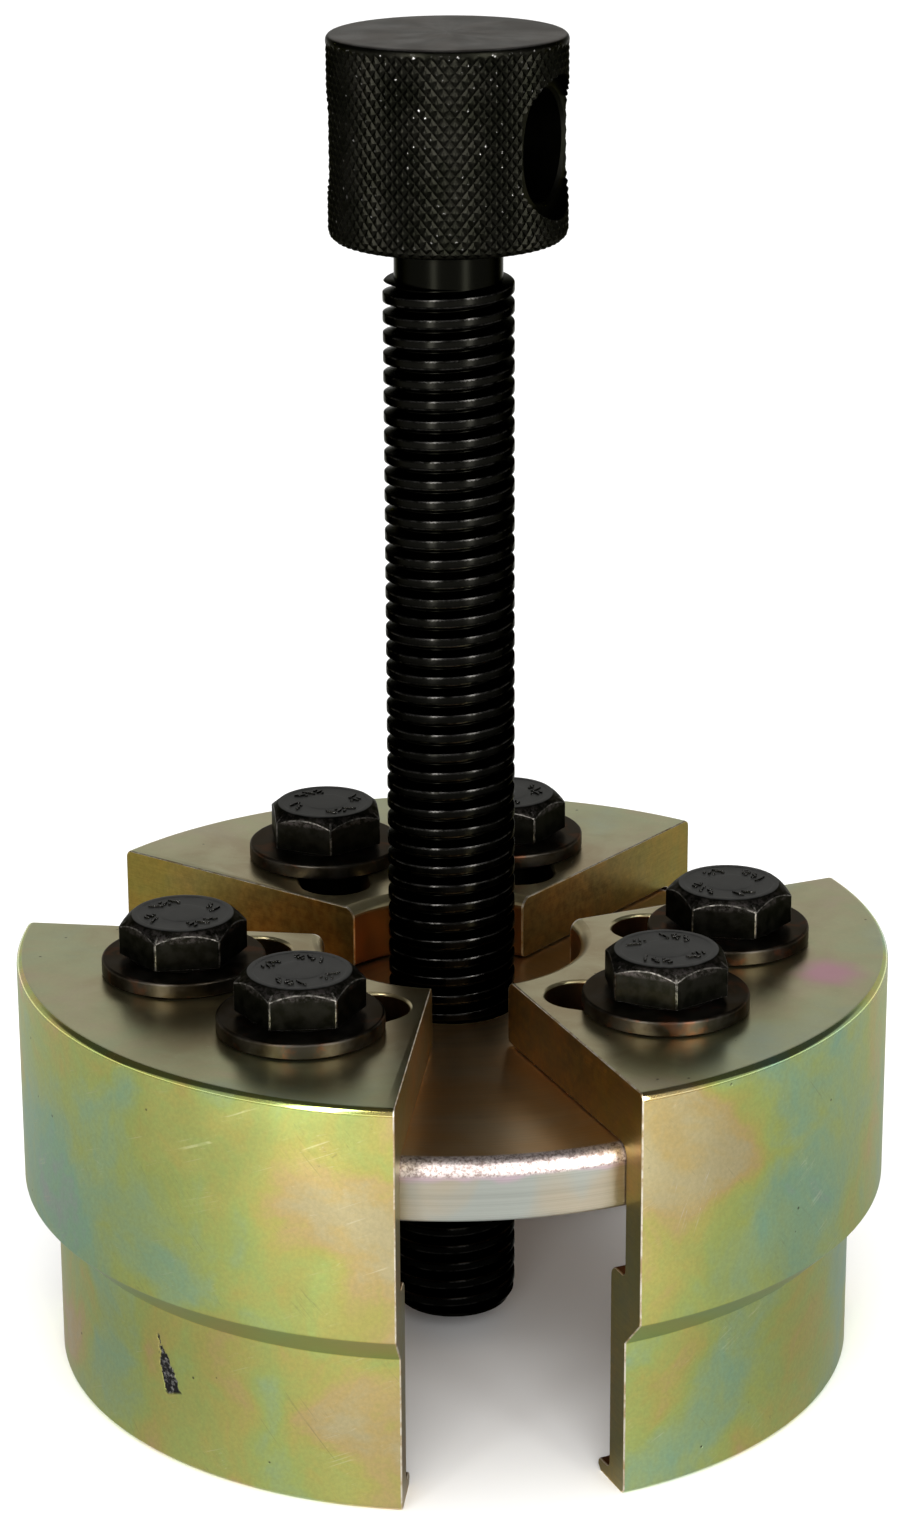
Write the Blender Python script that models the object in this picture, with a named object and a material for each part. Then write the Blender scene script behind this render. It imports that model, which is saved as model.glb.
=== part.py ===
"""Three-jaw forcing-screw compressor: three slotted shell jaws on a bridge disc, pressed by a central screw.

The frame is in metres with +Z up. The origin is on the screw's axis, in the plane of the jaws' lower rims.
+X points along the middle of the first jaw, and the head's cross hole runs along X.
"""

from math import cos, floor, pi, radians, sin, sqrt, tan

import bmesh
import bpy
from mathutils import Matrix

GAP = 0.0002                # clearance left between pieces that touch
SLIDE_GAP = 0.0003          # clearance under a piece that slides

# Shell jaws: a turned ring cut into sectors, each moved out along its own middle line
JAW_COUNT = 3
JAW_HALF_ANGLE = radians(45.5)
JAW_SHIFT = 0.0012          # each jaw's arcs are centred this far out from the screw's axis
JAW_STEPS = 20              # facets round one jaw
JAW_HEIGHT = 0.0662
JAW_UPPER_R = 0.0665
JAW_LOWER_R = 0.0614
JAW_TOP_ROUND = 0.0011
JAW_RIM_BREAK = 0.0007
SHOULDER_TOP = 0.0299       # the outer chamfer between the two outer radii
SHOULDER_BOTTOM = 0.0248
FLANGE_BOTTOM = 0.0561
WALL_UPPER_R = 0.0612       # inner wall beside the bridge disc
WALL_LOWER_R = 0.0564       # inner wall of the gripping recess
WALL_FILLET = 0.0020        # between the flange's underside and the upper wall
LEDGE_Z = 0.0355
LEDGE_ROUND = 0.0018
LEDGE_FILLET = 0.0010
LIP_R = 0.0525
LIP_HEIGHT = 0.0021
LIP_ROUND = 0.0009
LIP_FILLET = 0.0010
CLEARANCE_R = 0.0200        # arc of the flange round the screw
CLEARANCE_TOP_ROUND = 0.0020
CLEARANCE_LOW_ROUND = 0.0008

# Slots and the bolts that clamp the jaws to the bridge disc
BOLT_ALONG = 0.0402         # along the jaw's middle line, from the screw's axis
BOLT_ACROSS = 0.0150        # to each side of that line
SLOT_INNER = 0.0270         # centre of the slot's inner end
SLOT_OUTER = 0.0410
SLOT_HALF_WIDTH = 0.0056
SLOT_BREAK = 0.00035
WASHER_R = 0.0125
WASHER_HOLE_R = 0.0053
WASHER_THICKNESS = 0.0024
WASHER_EDGE = 0.0002
BOLT_R = 0.0050
BOLT_HOLE_R = 0.00515
BOLT_LENGTH = 0.0200
BOLT_ACROSS_FLATS = 0.0170
BOLT_HEAD = 0.0066
BOLT_FACE_R = 0.0082        # round washer face under the head
BOLT_FACE_HEIGHT = 0.0005
BOLT_TOP_R = 0.0077         # flat circle on the head
BOLT_TOP_SLOPE = tan(radians(40))
BOLT_TIP = 0.0010
HEAD_TURNS = (13.3, -2.3, -1.5, 19.3, 26.3, 29.4)   # degrees, where each bolt was left by the wrench

# Bridge disc
DISC_R = 0.0617
DISC_BOTTOM = 0.0465
DISC_TOP = FLANGE_BOTTOM - SLIDE_GAP
DISC_TOP_ROUND = 0.0022
DISC_LOW_BREAK = 0.0005
DISC_BORE_R = 0.00995

# Forcing screw
THREAD_R = 0.0098
THREAD_ROOT_R = 0.0080
THREAD_PITCH = 0.003025
THREAD_CREST = 0.5          # share of the pitch that the flat crest takes
THREAD_FACETS = 12          # facets in one turn
THREAD_START = 0.00264      # the middle of a crest crosses +X at this height
THREAD_TOP = 0.1702
THREAD_TOP_BREAK = 0.0004
NECK_R = 0.0081
SCREW_END = 0.0059
SCREW_END_R = 0.0092
SCREW_END_SLOPE = 1.6       # rise of the end chamfer for each unit outwards
HEAD_BOTTOM = 0.1762
HEAD_TOP = 0.2063
HEAD_R = 0.0177
HEAD_TOP_ROUND = 0.0009
HEAD_LOW_ROUND = 0.0018
CROSS_HOLE_R = 0.0083
CROSS_HOLE_Z = 0.1907
SPOTFACE_R = 0.0105
SPOTFACE_X = 0.0150         # the flat round the cross hole, from the screw's axis

# Live point in the screw's end, with its ball and ring
POINT_CONE = ((0.0, 0.0015), (0.0018, 0.0025), (0.0054, 0.0038), (0.0088, 0.0052))   # (radius, height)
POINT_STEM_R = 0.0043
POINT_STEM_TOP = 0.0120
SOCKET_R = 0.0046
SOCKET_TOP = 0.0206
SOCKET_DRILL_SLOPE = tan(radians(31))
BALL_R = 0.0041
RING_Z = 0.0086
RING_THICKNESS = 0.0010
RING_R = 0.0052
RING_INNER_R = 0.0037
RING_OPEN_ANGLE = radians(40)
RING_GROOVE_R = 0.0054
STEM_GROOVE_R = 0.0034

FULL_TURN = 2 * pi
OFF_SEAM = 0.031            # turns a cutter so that its edges miss those of the piece it cuts
OVERSHOOT = 0.001           # how far a tool runs past the face it cuts
OVERLAP = 0.0004            # how far two bodies that become one run into each other


def arc(centre_r, centre_z, radius, start, end, steps=4):
    """Points of an arc in the turned profile's plane, with both ends, angles in degrees."""
    points = []
    for i in range(steps + 1):
        angle = radians(start + (end - start) * i / steps)
        points.append((centre_r + radius * cos(angle), centre_z + radius * sin(angle)))
    return points


def turned(profile, steps, start=0.0, sweep=FULL_TURN):
    """Turn a closed profile of (radius, height) points round Z. The profile runs anticlockwise."""
    bm = bmesh.new()
    full = sweep >= FULL_TURN
    rows = steps if full else steps + 1
    rings = []
    poles = {}
    for j in range(rows):
        angle = start + sweep * j / steps
        ring = []
        for i, (r, z) in enumerate(profile):
            if r < 1e-9:
                if i not in poles:
                    poles[i] = bm.verts.new((0, 0, z))
                ring.append(poles[i])
            else:
                ring.append(bm.verts.new((r * cos(angle), r * sin(angle), z)))
        rings.append(ring)
    count = len(profile)
    for j in range(steps):
        a = rings[j]
        b = rings[(j + 1) % rows]
        for i in range(count):
            k = (i + 1) % count
            corners = []
            for v in (a[i], b[i], b[k], a[k]):
                if v not in corners:
                    corners.append(v)
            if len(corners) > 2:
                bm.faces.new(corners)
    if not full:
        bm.faces.new(rings[0])
        bm.faces.new(rings[-1])
    bmesh.ops.recalc_face_normals(bm, faces=bm.faces)
    return bm


def stacked(layers):
    """Join outlines with equal point counts, listed as (height, points), into one closed solid."""
    bm = bmesh.new()
    rings = []
    for z, outline in layers:
        rings.append([bm.verts.new((x, y, z)) for x, y in outline])
    for low, high in zip(rings, rings[1:]):
        count = len(low)
        for i in range(count):
            k = (i + 1) % count
            bm.faces.new((low[i], low[k], high[k], high[i]))
    bm.faces.new(list(reversed(rings[0])))
    bm.faces.new(rings[-1])
    bmesh.ops.recalc_face_normals(bm, faces=bm.faces)
    return bm


def joined(*parts):
    """Gather separate bodies into one mesh."""
    bm = bmesh.new()
    for part in parts:
        mesh = bpy.data.meshes.new("part")
        part.to_mesh(mesh)
        part.free()
        bm.from_mesh(mesh)
        bpy.data.meshes.remove(mesh)
    return bm


def add_object(name, bm, material=None, smooth=30):
    """Make an object from a bmesh, with edges sharper than smooth degrees kept sharp."""
    mesh = bpy.data.meshes.new(name)
    bm.to_mesh(mesh)
    bm.free()
    mesh.shade_smooth()
    mesh.set_sharp_from_angle(angle=radians(smooth))
    if material:
        mesh.materials.append(material)
    obj = bpy.data.objects.new(name, mesh)
    bpy.context.collection.objects.link(obj)
    return obj


def boolean(obj, tool, operation="DIFFERENCE"):
    """Cut, join or clip obj with a hidden tool object that moves with it."""
    tool.hide_render = True
    tool.display_type = "WIRE"
    tool.parent = obj
    modifier = obj.modifiers.new(tool.name, "BOOLEAN")
    modifier.operation = operation
    modifier.solver = "EXACT"
    modifier.object = tool


def add_empty(name, x=0.0, y=0.0, z=0.0, turn=0.0, parent=None):
    """An empty that carries a moving group."""
    empty = bpy.data.objects.new(name, None)
    bpy.context.collection.objects.link(empty)
    empty.location = (x, y, z)
    empty.rotation_euler = (0, 0, turn)
    empty.parent = parent
    return empty


def make_material(name, colour, roughness, metallic=1.0):
    material = bpy.data.materials.new(name)
    material.use_nodes = True
    shader = material.node_tree.nodes["Principled BSDF"]
    shader.inputs["Base Color"].default_value = (*colour, 1.0)
    shader.inputs["Roughness"].default_value = roughness
    shader.inputs["Metallic"].default_value = metallic
    return material


def slot_outline(half_width):
    """Stadium outline of one slot, along +X."""
    points = []
    for i in range(9):
        angle = -pi / 2 + pi * i / 8
        points.append((SLOT_OUTER + half_width * cos(angle), half_width * sin(angle)))
    for i in range(9):
        angle = pi / 2 + pi * i / 8
        points.append((SLOT_INNER + half_width * cos(angle), half_width * sin(angle)))
    return points


def jaw_profile():
    """Section of one jaw through its middle, as (radius from the jaw's own centre, height)."""
    points = [(LIP_R + LIP_ROUND, 0.0), (JAW_LOWER_R - JAW_RIM_BREAK, 0.0), (JAW_LOWER_R, JAW_RIM_BREAK)]
    points += [(JAW_LOWER_R, SHOULDER_BOTTOM), (JAW_UPPER_R, SHOULDER_TOP)]
    points += arc(JAW_UPPER_R - JAW_TOP_ROUND, JAW_HEIGHT - JAW_TOP_ROUND, JAW_TOP_ROUND, 0, 90, 3)
    points += [(CLEARANCE_R / 2, JAW_HEIGHT), (CLEARANCE_R / 2, FLANGE_BOTTOM)]
    points += arc(WALL_UPPER_R - WALL_FILLET, FLANGE_BOTTOM - WALL_FILLET, WALL_FILLET, 90, 0, 3)
    points += arc(WALL_UPPER_R - LEDGE_FILLET, LEDGE_Z + LEDGE_FILLET, LEDGE_FILLET, 0, -90, 2)
    points += arc(WALL_LOWER_R + LEDGE_ROUND, LEDGE_Z - LEDGE_ROUND, LEDGE_ROUND, 90, 180, 3)
    points += arc(WALL_LOWER_R - LIP_FILLET, LIP_HEIGHT + LIP_FILLET, LIP_FILLET, 0, -90, 2)
    points += arc(LIP_R + LIP_ROUND, LIP_HEIGHT - LIP_ROUND, LIP_ROUND, 90, 180, 3)
    return points


def clearance_cutter():
    """Tool for the flange's arc round the screw, with both edges rounded."""
    top = arc(CLEARANCE_R + CLEARANCE_TOP_ROUND, JAW_HEIGHT - CLEARANCE_TOP_ROUND,
              CLEARANCE_TOP_ROUND, 180, 100, 4)
    low = arc(CLEARANCE_R + CLEARANCE_LOW_ROUND, FLANGE_BOTTOM + CLEARANCE_LOW_ROUND,
              CLEARANCE_LOW_ROUND, 260, 180, 2)
    below = FLANGE_BOTTOM - OVERSHOOT
    above = JAW_HEIGHT + OVERSHOOT
    profile = [(0.0, below), (low[0][0], below)] + low + top + [(top[-1][0], above), (0.0, above)]
    return turned(profile, 72)


def slot_cutter(side):
    """Tool for one slot, with a broken upper edge."""
    narrow = slot_outline(SLOT_HALF_WIDTH)
    wide = slot_outline(SLOT_HALF_WIDTH + SLOT_BREAK + OVERSHOOT)
    bm = stacked([(FLANGE_BOTTOM - OVERSHOOT, narrow), (JAW_HEIGHT - SLOT_BREAK, narrow),
                  (JAW_HEIGHT + OVERSHOOT, wide)])
    bmesh.ops.translate(bm, verts=bm.verts, vec=(0, side * BOLT_ACROSS, 0))
    return bm


def make_jaw(index, material):
    """One shell jaw, turned to its place round the screw."""
    bm = turned(jaw_profile(), JAW_STEPS, -JAW_HALF_ANGLE, 2 * JAW_HALF_ANGLE)
    bmesh.ops.translate(bm, verts=bm.verts, vec=(JAW_SHIFT, 0, 0))
    jaw = add_object(f"jaw_{index + 1}", bm, material)
    tool = add_object(f"jaw_{index + 1}_cutter", joined(clearance_cutter(), slot_cutter(1), slot_cutter(-1)))
    boolean(jaw, tool)
    jaw.rotation_euler = (0, 0, FULL_TURN * index / JAW_COUNT)
    return jaw


def bolt_places():
    """World x, y and turn of each clamp bolt, two to a jaw."""
    places = []
    for index in range(JAW_COUNT):
        angle = FULL_TURN * index / JAW_COUNT
        for side in (1, -1):
            x = BOLT_ALONG * cos(angle) - side * BOLT_ACROSS * sin(angle)
            y = BOLT_ALONG * sin(angle) + side * BOLT_ACROSS * cos(angle)
            places.append((x, y, angle))
    return places


def make_disc(material):
    """Round bridge with a bore for the screw and a hole for each bolt."""
    profile = [(DISC_BORE_R, DISC_BOTTOM), (DISC_R - DISC_LOW_BREAK, DISC_BOTTOM)]
    profile += [(DISC_R, DISC_BOTTOM + DISC_LOW_BREAK)]
    profile += arc(DISC_R - DISC_TOP_ROUND, DISC_TOP - DISC_TOP_ROUND, DISC_TOP_ROUND, 0, 90, 4)
    profile += [(DISC_BORE_R, DISC_TOP)]
    disc = add_object("bridge_disc", turned(profile, 72), material)
    drills = []
    for x, y, _ in bolt_places():
        drill = turned([(0, DISC_BOTTOM - OVERSHOOT), (BOLT_HOLE_R, DISC_BOTTOM - OVERSHOOT),
                        (BOLT_HOLE_R, DISC_TOP + OVERSHOOT), (0, DISC_TOP + OVERSHOOT)], 24)
        bmesh.ops.translate(drill, verts=drill.verts, vec=(x, y, 0))
        drills.append(drill)
    boolean(disc, add_object("bridge_disc_cutter", joined(*drills)))
    return disc


def hexagon(across_flats, low, high):
    """Upright hexagonal prism with a corner towards +X."""
    radius = across_flats / sqrt(3)
    outline = [(radius * cos(pi / 3 * i), radius * sin(pi / 3 * i)) for i in range(6)]
    return stacked([(low, outline), (high, outline)])


def make_bolt(index, place, turn, material):
    """Hexagon bolt whose origin is on its own axis, at the underside of its head."""
    hexagon_low = BOLT_FACE_HEIGHT
    corner_r = BOLT_ACROSS_FLATS / sqrt(3) + OVERSHOOT
    corner_z = BOLT_HEAD - (corner_r - BOLT_TOP_R) * BOLT_TOP_SLOPE
    name = f"clamp_bolt_{index + 1}"
    bolt = add_object(name, hexagon(BOLT_ACROSS_FLATS, hexagon_low, BOLT_HEAD + OVERSHOOT), material)
    lens = turned([(0, 0), (corner_r, 0), (corner_r, corner_z), (BOLT_TOP_R, BOLT_HEAD), (0, BOLT_HEAD)], 36)
    boolean(bolt, add_object(name + "_chamfer", lens), "INTERSECT")
    inside = hexagon_low + OVERLAP
    shank = turned([(0, -BOLT_LENGTH), (BOLT_R - BOLT_TIP, -BOLT_LENGTH), (BOLT_R, BOLT_TIP - BOLT_LENGTH),
                    (BOLT_R, 0), (BOLT_FACE_R, 0), (BOLT_FACE_R, inside), (0, inside)], 24)
    boolean(bolt, add_object(name + "_shank", shank), "UNION")
    bolt.location = place
    bolt.rotation_euler = (0, 0, turn)
    return bolt


def make_washer(index, place, material):
    """Plain washer whose origin is on its bolt's axis, at its underside."""
    edge = WASHER_EDGE
    top = WASHER_THICKNESS
    profile = [(WASHER_HOLE_R, 0), (WASHER_R - edge, 0), (WASHER_R, edge), (WASHER_R, top - edge),
               (WASHER_R - edge, top), (WASHER_HOLE_R, top)]
    washer = add_object(f"washer_{index + 1}", turned(profile, 32), material)
    washer.location = place
    return washer


def threaded_rod(low, high):
    """Right-hand threaded bar between two heights, closed with flat caps."""
    bm = bmesh.new()
    crest = THREAD_CREST / 2
    levels = [(-crest, THREAD_R), (crest, THREAD_R), (0.5, THREAD_ROOT_R)]
    first = THREAD_START + THREAD_PITCH * (floor((low - THREAD_START) / THREAD_PITCH) - 1)
    turns = int((high - first) / THREAD_PITCH) + 2
    columns = []
    for j in range(THREAD_FACETS):
        angle = FULL_TURN * j / THREAD_FACETS
        column = []
        for turn in range(turns):
            for offset, radius in levels:
                z = first + THREAD_PITCH * (turn + offset + j / THREAD_FACETS)
                column.append(bm.verts.new((radius * cos(angle), radius * sin(angle), z)))
        columns.append(column)
    count = len(columns[0])
    step = len(levels)
    for j in range(THREAD_FACETS):
        a = columns[j]
        last = j == THREAD_FACETS - 1
        b = columns[0][step:] if last else columns[j + 1]
        for i in range(count - 1 - (step if last else 0)):
            bm.faces.new((a[i], b[i], b[i + 1], a[i + 1]))
    # the helix leaves a step at each end, which the caps take in
    bottom = [c[0] for c in columns] + list(reversed(columns[0][:step + 1]))[:-1]
    top = [c[-1] for c in columns]
    tail = columns[-1][count - 1 - step:count]
    top = top + tail[::-1][1:]
    low_centre = bm.verts.new((0, 0, first - 2 * THREAD_PITCH))
    high_centre = bm.verts.new((0, 0, first + (turns + 2) * THREAD_PITCH))
    for loop, centre in ((bottom, low_centre), (top, high_centre)):
        for i in range(len(loop)):
            k = (i + 1) % len(loop)
            bm.faces.new((loop[i], loop[k], centre))
    bmesh.ops.recalc_face_normals(bm, faces=bm.faces)
    bmesh.ops.triangulate(bm, faces=bm.faces)
    return bm


def make_screw(material):
    """Forcing screw: thread, neck and cross-drilled head in one piece, with a socket for the live point."""
    bar = threaded_rod(SCREW_END - THREAD_PITCH, THREAD_TOP + THREAD_PITCH)
    screw = add_object("forcing_screw", bar, material)
    over = THREAD_R + OVERLAP
    blank = [(0, SCREW_END), (SCREW_END_R, SCREW_END)]
    blank += [(over, SCREW_END + (over - SCREW_END_R) * SCREW_END_SLOPE)]
    blank += [(over, THREAD_TOP - THREAD_TOP_BREAK - OVERLAP), (THREAD_R - THREAD_TOP_BREAK, THREAD_TOP)]
    blank += [(0, THREAD_TOP)]
    boolean(screw, add_object("forcing_screw_blank", turned(blank, 40, OFF_SEAM)), "INTERSECT")

    neck_low = THREAD_TOP - OVERLAP
    head = [(0, neck_low), (NECK_R, neck_low), (NECK_R, HEAD_BOTTOM)]
    head += arc(HEAD_R - HEAD_LOW_ROUND, HEAD_BOTTOM + HEAD_LOW_ROUND, HEAD_LOW_ROUND, -90, 0, 3)
    head += arc(HEAD_R - HEAD_TOP_ROUND, HEAD_TOP - HEAD_TOP_ROUND, HEAD_TOP_ROUND, 0, 90, 3)
    head += [(0, HEAD_TOP)]
    boolean(screw, add_object("forcing_screw_head", turned(head, 48, 2 * OFF_SEAM)), "UNION")

    reach = HEAD_R + OVERSHOOT
    drill = turned([(0, -reach), (CROSS_HOLE_R, -reach), (CROSS_HOLE_R, reach), (0, reach)], 32, OFF_SEAM)
    place = Matrix.Translation((0, 0, CROSS_HOLE_Z)) @ Matrix.Rotation(pi / 2, 4, "Y")
    bmesh.ops.transform(drill, matrix=place, verts=drill.verts)
    boolean(screw, add_object("cross_hole_cutter", drill))
    for side in (1, -1):
        flat = [(0, SPOTFACE_X), (SPOTFACE_R, SPOTFACE_X), (SPOTFACE_R, reach), (0, reach)]
        face = turned(flat, 36, OFF_SEAM)
        turn = Matrix.Rotation(side * pi / 2, 4, "Y")
        bmesh.ops.transform(face, matrix=Matrix.Translation((0, 0, CROSS_HOLE_Z)) @ turn, verts=face.verts)
        boolean(screw, add_object(f"spotface_cutter_{1 if side > 0 else 2}", face))

    ring_low = RING_Z - GAP
    ring_high = RING_Z + RING_THICKNESS + GAP
    socket = [(0, SCREW_END - OVERSHOOT), (SOCKET_R, SCREW_END - OVERSHOOT), (SOCKET_R, ring_low)]
    socket += [(RING_GROOVE_R, ring_low), (RING_GROOVE_R, ring_high), (SOCKET_R, ring_high)]
    socket += [(SOCKET_R, SOCKET_TOP), (0, SOCKET_TOP + SOCKET_R * SOCKET_DRILL_SLOPE)]
    boolean(screw, add_object("socket_cutter", turned(socket, 28, OFF_SEAM)))
    return screw


def make_point(material):
    """Live point: a blunt cone on a stem that turns in the screw's end."""
    ring_low = RING_Z - GAP / 2
    ring_high = RING_Z + RING_THICKNESS + GAP / 2
    shoulder = SCREW_END - SLIDE_GAP
    profile = list(POINT_CONE) + [(POINT_CONE[-1][0], shoulder), (POINT_STEM_R, shoulder)]
    profile += [(POINT_STEM_R, ring_low), (STEM_GROOVE_R, ring_low), (STEM_GROOVE_R, ring_high)]
    profile += [(POINT_STEM_R, ring_high), (POINT_STEM_R, POINT_STEM_TOP), (0, POINT_STEM_TOP)]
    return add_object("live_point", turned(profile, 32), material)


def make_point_ring(material):
    """Open wire ring that holds the live point in its socket."""
    profile = [(RING_INNER_R, RING_Z), (RING_R, RING_Z), (RING_R, RING_Z + RING_THICKNESS),
               (RING_INNER_R, RING_Z + RING_THICKNESS)]
    sweep = FULL_TURN - RING_OPEN_ANGLE
    return add_object("point_ring", turned(profile, 20, RING_OPEN_ANGLE / 2, sweep), material)


def make_ball(material):
    """Thrust ball between the live point and the end of its socket."""
    bm = bmesh.new()
    bmesh.ops.create_icosphere(bm, subdivisions=2, radius=BALL_R)
    ball = add_object("thrust_ball", bm, material, smooth=80)
    ball.location = (0, 0, POINT_STEM_TOP + GAP + BALL_R)
    return ball


def main():
    for obj in list(bpy.data.objects):
        bpy.data.objects.remove(obj, do_unlink=True)

    plated = make_material("yellow_zinc_plate", (0.42, 0.38, 0.17), 0.35)
    disc_plate = make_material("disc_zinc_plate", (0.48, 0.42, 0.24), 0.30)
    black = make_material("black_oxide", (0.03, 0.03, 0.032), 0.40)
    bolt_black = make_material("bolt_black_oxide", (0.07, 0.07, 0.075), 0.50)
    washer_black = make_material("washer_black_oxide", (0.09, 0.08, 0.07), 0.45)
    bright = make_material("bearing_steel", (0.6, 0.6, 0.62), 0.25)

    make_disc(disc_plate)
    for index in range(JAW_COUNT):
        make_jaw(index, plated)

    washer_z = JAW_HEIGHT + GAP
    for index, (x, y, angle) in enumerate(bolt_places()):
        axis = add_empty(f"bolt_axis_{index + 1}", x, y, washer_z)
        washer = make_washer(index, (0, 0, 0), washer_black)
        washer.parent = axis
        bolt = make_bolt(index, (0, 0, WASHER_THICKNESS + GAP / 2), radians(HEAD_TURNS[index]), bolt_black)
        bolt.parent = axis

    screw = make_screw(black)
    point = make_point(black)
    make_point_ring(bright).parent = point
    make_ball(bright).parent = point
    screw.parent = add_empty("screw_axis")


main()
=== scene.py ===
"""Three-jaw forcing-screw compressor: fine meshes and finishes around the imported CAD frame."""

from math import asin, atan2, ceil, cos, hypot, pi, radians, sin, tan

import bmesh
import bpy
import numpy as np
from mathutils import Matrix, Vector


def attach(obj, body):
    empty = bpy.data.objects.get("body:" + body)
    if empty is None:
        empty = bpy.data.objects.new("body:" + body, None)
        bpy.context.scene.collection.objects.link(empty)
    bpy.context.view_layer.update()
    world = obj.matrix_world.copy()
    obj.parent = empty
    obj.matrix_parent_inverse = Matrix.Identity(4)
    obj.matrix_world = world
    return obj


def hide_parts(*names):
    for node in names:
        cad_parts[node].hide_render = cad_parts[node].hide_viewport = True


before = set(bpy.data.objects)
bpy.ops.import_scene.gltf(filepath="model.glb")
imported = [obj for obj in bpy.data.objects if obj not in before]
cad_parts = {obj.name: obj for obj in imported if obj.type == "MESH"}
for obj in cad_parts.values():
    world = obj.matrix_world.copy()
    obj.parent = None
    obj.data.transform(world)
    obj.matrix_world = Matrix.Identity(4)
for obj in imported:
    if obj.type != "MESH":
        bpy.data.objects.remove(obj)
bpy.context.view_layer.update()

TURN = 2 * pi
MM = 0.001

# -------- sizes, in millimetres, as in the CAD
JAWS = 3
HALF_ANGLE = radians(45.5)
JAW_SHIFT = 1.2
JAW_TOP = 66.2
FLANGE_BOTTOM = 56.1
UPPER_R = 66.45
LOWER_R = 61.4
CONE_LOW = 24.8
CONE_HIGH = 29.9
RECESS_R = 61.2
RECESS_LOW = 35.5
BORE_R = 56.4
LIP_R = 52.5
LIP_TOP = 2.1
ARC_R = 20.0
BOLT_ALONG = 40.2
BOLT_ACROSS = 15.0
SLOT_INNER = 27.0
SLOT_OUTER = 41.0
SLOT_W = 5.6
WASHER_R = 12.5
WASHER_BORE_R = 5.3
WASHER_T = 2.4
WASHER_Z = 66.4
BOLT_Z = 68.9
BOLT_TIP = -20.0
HALF_FLATS = 8.5
HEAD_H = 6.6
HEAD_FACE_R = 7.7
CHAMFER = radians(40)
BOLT_STEPS = 360
HEAD_TURNS = (13.3, -2.3, -1.5, 19.3, 26.3, 29.4)
DISC_R = 61.7
DISC_BORE_R = 9.95
DISC_LOW = 46.5
DISC_TOP = 55.8
PITCH = 3.025
THREAD_START = 2.64
SCREW_END = 5.9
THREAD_TOP = 170.2
HEAD_LOW = 176.2
HEAD_TOP = 206.3
HEAD_R = 17.7
NECK_R = 8.1
HOLE_Z = 190.7
HOLE_R = 8.3
SPOT_R = 10.5
SPOT_X = 15.0


# -------- mesh helpers
def new_object(name, data):
    obj = bpy.data.objects.new(name, data)
    bpy.context.scene.collection.objects.link(obj)
    return obj


def mesh_object(name, points, faces, smooth=40):
    """An object from points in millimetres, which also keeps each point's place in the piece's own frame."""
    mesh = bpy.data.meshes.new(name)
    mesh.from_pydata([tuple(p) for p in np.asarray(points) * MM], [], faces)
    mesh.update()
    shade(mesh, smooth)
    obj = new_object(name, mesh)
    set_own(obj)
    return obj


def shade(mesh, smooth):
    """Smooth shading, with sharp edges where the faces turn by more than so many degrees."""
    mesh.shade_smooth()
    mesh.set_sharp_from_angle(angle=radians(smooth))


def solid(name, points, faces, *finishes, smooth=40):
    """A closed object with its finishes, and all its faces outwards."""
    obj = mesh_object(name, points, faces, smooth)
    recalc(obj)
    for finish in finishes:
        obj.data.materials.append(finish)
    return obj


def place(obj, x=0.0, y=0.0, z=0.0, turn=0.0):
    """Move the mesh itself, so that the object stays at the origin."""
    obj.data.transform(Matrix.Translation((x * MM, y * MM, z * MM)) @ Matrix.Rotation(turn, 4, "Z"))
    return obj


def weigh(obj):
    """Flat faces keep flat shading next to their rounded edges."""
    modifier = obj.modifiers.new("weighted", "WEIGHTED_NORMAL")
    modifier.keep_sharp = True
    modifier.weight = 60


def spin(sections, closed):
    """Points and faces of (radius, height) sections spread round Z. Open sections get a pole at each end."""
    steps = len(sections)
    count = len(sections[0])
    points = []
    for j, section in enumerate(sections):
        a = TURN * j / steps
        points += [(r * cos(a), r * sin(a), z) for r, z in section]
    faces = []
    for j in range(steps):
        here, there = j * count, (j + 1) % steps * count
        for i in range(count if closed else count - 1):
            n = (i + 1) % count
            faces.append((here + i, there + i, there + n, here + n))
    if not closed:
        pole = len(points)
        points += [(0, 0, sections[0][0][1]), (0, 0, sections[0][-1][1])]
        for j in range(steps):
            here, there = j * count, (j + 1) % steps * count
            faces += [(pole, there, here), (pole + 1, here + count - 1, there + count - 1)]
    return points, faces


def revolve(profile, steps, closed=True):
    """Points and faces of one profile turned round Z."""
    return spin([profile] * steps, closed)


def loft(rings):
    """Points and faces of closed rings joined in order, with both ends closed."""
    count = len(rings[0])
    points = [point for ring in rings for point in ring]
    faces = []
    for j in range(len(rings) - 1):
        for i in range(count):
            n = (i + 1) % count
            faces.append((j * count + i, j * count + n, (j + 1) * count + n, (j + 1) * count + i))
    faces.append(tuple(range(count - 1, -1, -1)))
    faces.append(tuple(range(len(points) - count, len(points))))
    return points, faces


def join_parts(parts):
    """Several (points, faces) as one."""
    points = []
    faces = []
    for p, f in parts:
        base = len(points)
        points += list(p)
        faces += [tuple(base + i for i in face) for face in f]
    return points, faces


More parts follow.
